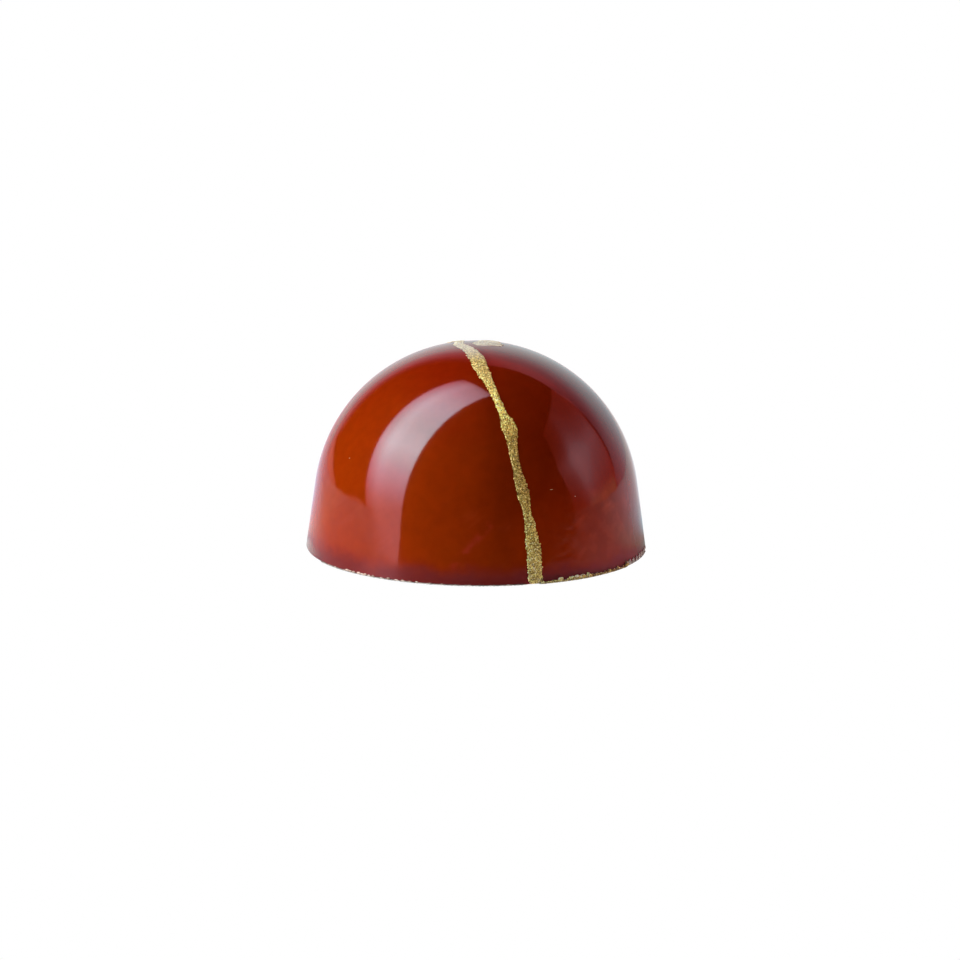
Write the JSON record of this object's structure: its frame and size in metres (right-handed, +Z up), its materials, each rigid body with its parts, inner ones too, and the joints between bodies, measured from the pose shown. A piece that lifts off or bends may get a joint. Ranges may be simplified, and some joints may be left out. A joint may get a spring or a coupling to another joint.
{
  "type": "chocolate praline",
  "caption": "Glossy red-brown moulded chocolate praline: a smooth dome on a short flared wall with a flat base, crossed by wavy lines of gold paint.",
  "frame": {"origin": "middle of the flat base that the praline stands on", "axes": "+Z up from the base through the crown; -Y is the front, where the gold line comes down right of the middle; +X is to the right"},
  "size_m": [0.0301, 0.03, 0.0183],
  "materials": {
    "shell": "mirror-glossy tempered chocolate under red-orange coloured cocoa butter",
    "gold_paint": "brushed-on edible gold paint, fine glittery grain",
    "base": "bare dark chocolate, scraped flat, satin"
  },
  "bodies": {
    "root": {"praline": "shell"}
  },
  "joints": []
}
